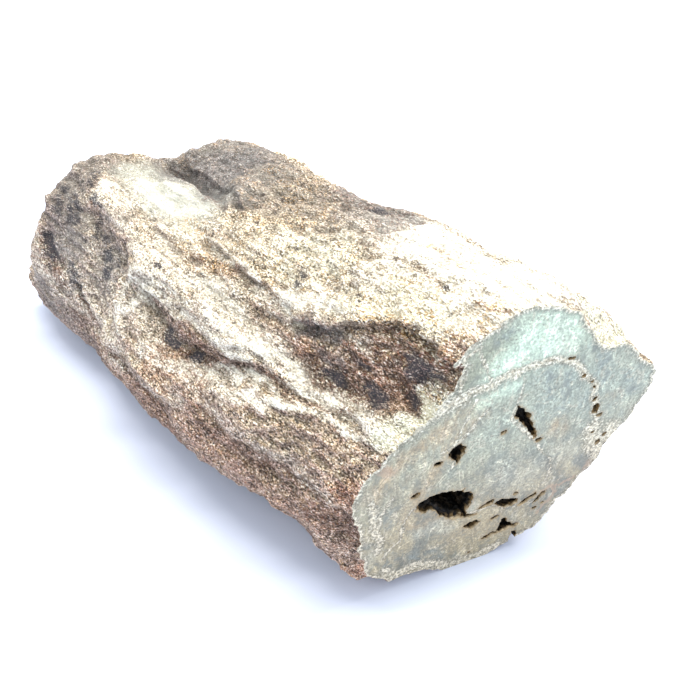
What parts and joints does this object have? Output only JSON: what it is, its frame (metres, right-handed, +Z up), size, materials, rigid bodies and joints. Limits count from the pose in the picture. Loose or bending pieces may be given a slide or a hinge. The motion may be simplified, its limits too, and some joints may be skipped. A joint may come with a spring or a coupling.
{
  "type": "petrified wood stump",
  "caption": "Short end of a fossil log lying on its side, rough grey-brown bark around, sawn and polished flat across the grain at one end, with open vugs in the pale chalcedony face.",
  "frame": {"origin": "below the middle of the bounding box, on the surface that the stone lies on", "axes": "+X along the grain towards the sawn and polished end, +Z up, +Y towards the plain far side"},
  "size_m": [0.1398, 0.0608, 0.0575],
  "materials": {
    "petrified_wood": "rough fibrous bark, with one polished pale blue-grey sawn face"
  },
  "bodies": {
    "root": {"stump": "petrified_wood"}
  },
  "joints": []
}
